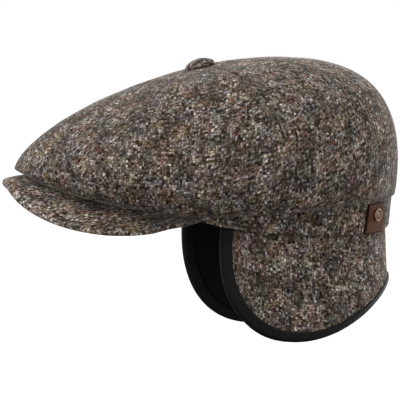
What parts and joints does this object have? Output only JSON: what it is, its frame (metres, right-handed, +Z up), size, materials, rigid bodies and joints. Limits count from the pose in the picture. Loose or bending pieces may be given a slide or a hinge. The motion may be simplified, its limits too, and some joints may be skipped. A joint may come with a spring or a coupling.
{
  "type": "earflap cap",
  "caption": "Tweed cap with a covered button, curved peak and headband, and a lined, bound flap over ears and neck.",
  "frame": {"origin": "centre of the headband's oval, level with the band's lower edge at the back, where a head carries the cap", "axes": "+Z up, the peak points along -Y, +X is the wearer's left"},
  "size_m": [0.2128, 0.2811, 0.1968],
  "materials": {
    "tweed": "coarse flecked wool, matt and slightly hairy",
    "lining": "black fleece, matt",
    "binding": "black tape with a soft sheen",
    "leather": "dark brown, waxed, with darkened edges",
    "metal": "aged brass, dull in its hollows"
  },
  "bodies": {
    "root": {"crown_panel_1": "tweed", "crown_panel_2": "tweed", "crown_panel_3": "tweed", "crown_panel_4": "tweed", "crown_panel_5": "tweed", "crown_panel_6": "tweed", "crown_panel_7": "tweed", "crown_panel_8": "tweed", "top_button": "tweed", "headband": "tweed", "peak": "tweed", "flap_cloth": "tweed", "flap_lining": "lining", "flap_binding": "binding", "leather_tab": "leather", "tab_rivet": "metal"}
  },
  "joints": []
}
